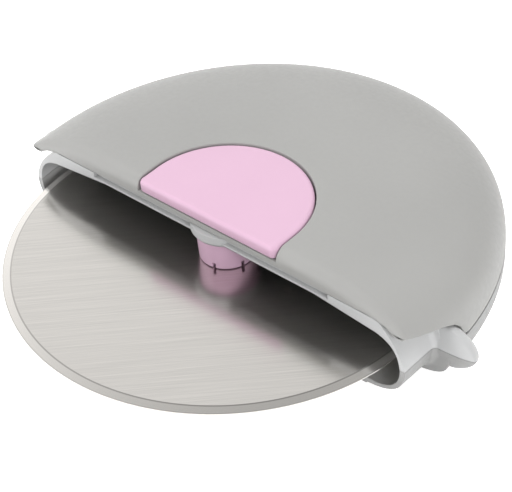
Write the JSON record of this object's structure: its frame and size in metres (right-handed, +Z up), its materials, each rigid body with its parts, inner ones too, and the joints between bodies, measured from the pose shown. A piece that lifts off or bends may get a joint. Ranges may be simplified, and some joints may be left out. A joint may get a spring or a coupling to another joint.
{
  "type": "pastry cutter wheel",
  "caption": "Palm-held pastry cutter: a round steel wheel turns in the mouth of a domed two-shell grip with finger lugs and a lift-out D-shaped button on the axle.",
  "frame": {"origin": "on the wheel's axis, in the flat underside of the lower shell", "axes": "+X along the mouth from lug to lug, +Y towards the rounded back of the grip, +Z up out of the palm side"},
  "size_m": [0.127, 0.1148, 0.0243],
  "materials": {
    "cover_plastic": "fine moulded texture, warm grey",
    "shell_plastic": "fine moulded texture, light cool grey",
    "accent_plastic": "soft satin, pale pink",
    "wheel_steel": "straight brushed faces with a ground edge",
    "pin_steel": "turned",
    "screw_steel": "plain zinc"
  },
  "bodies": {
    "grip": {"top_cover": "cover_plastic", "upper_frame": "shell_plastic", "lower_shell": "shell_plastic", "upper_hub": "accent_plastic", "lower_hub": "accent_plastic", "rear_screw_left": "screw_steel", "rear_screw_center": "screw_steel", "rear_screw_right": "screw_steel", "lug_screw_left": "screw_steel", "lug_screw_right": "screw_steel", "tray_screw_left": "screw_steel", "tray_screw_right": "screw_steel"},
    "wheel": {"blade": "wheel_steel"},
    "button": {"center_button": "accent_plastic", "axle_pin": "pin_steel"}
  },
  "joints": [
    {"name": "wheel_spin", "type": "hinge", "parent": "grip", "child": "wheel", "pos_m": [0, 0, 0.009], "axis": [0, 0, 1], "continuous": true},
    {"name": "button_lift", "type": "slide", "parent": "grip", "child": "button", "axis": [0, 0, 1], "range_m": [0, 0.022]}
  ]
}
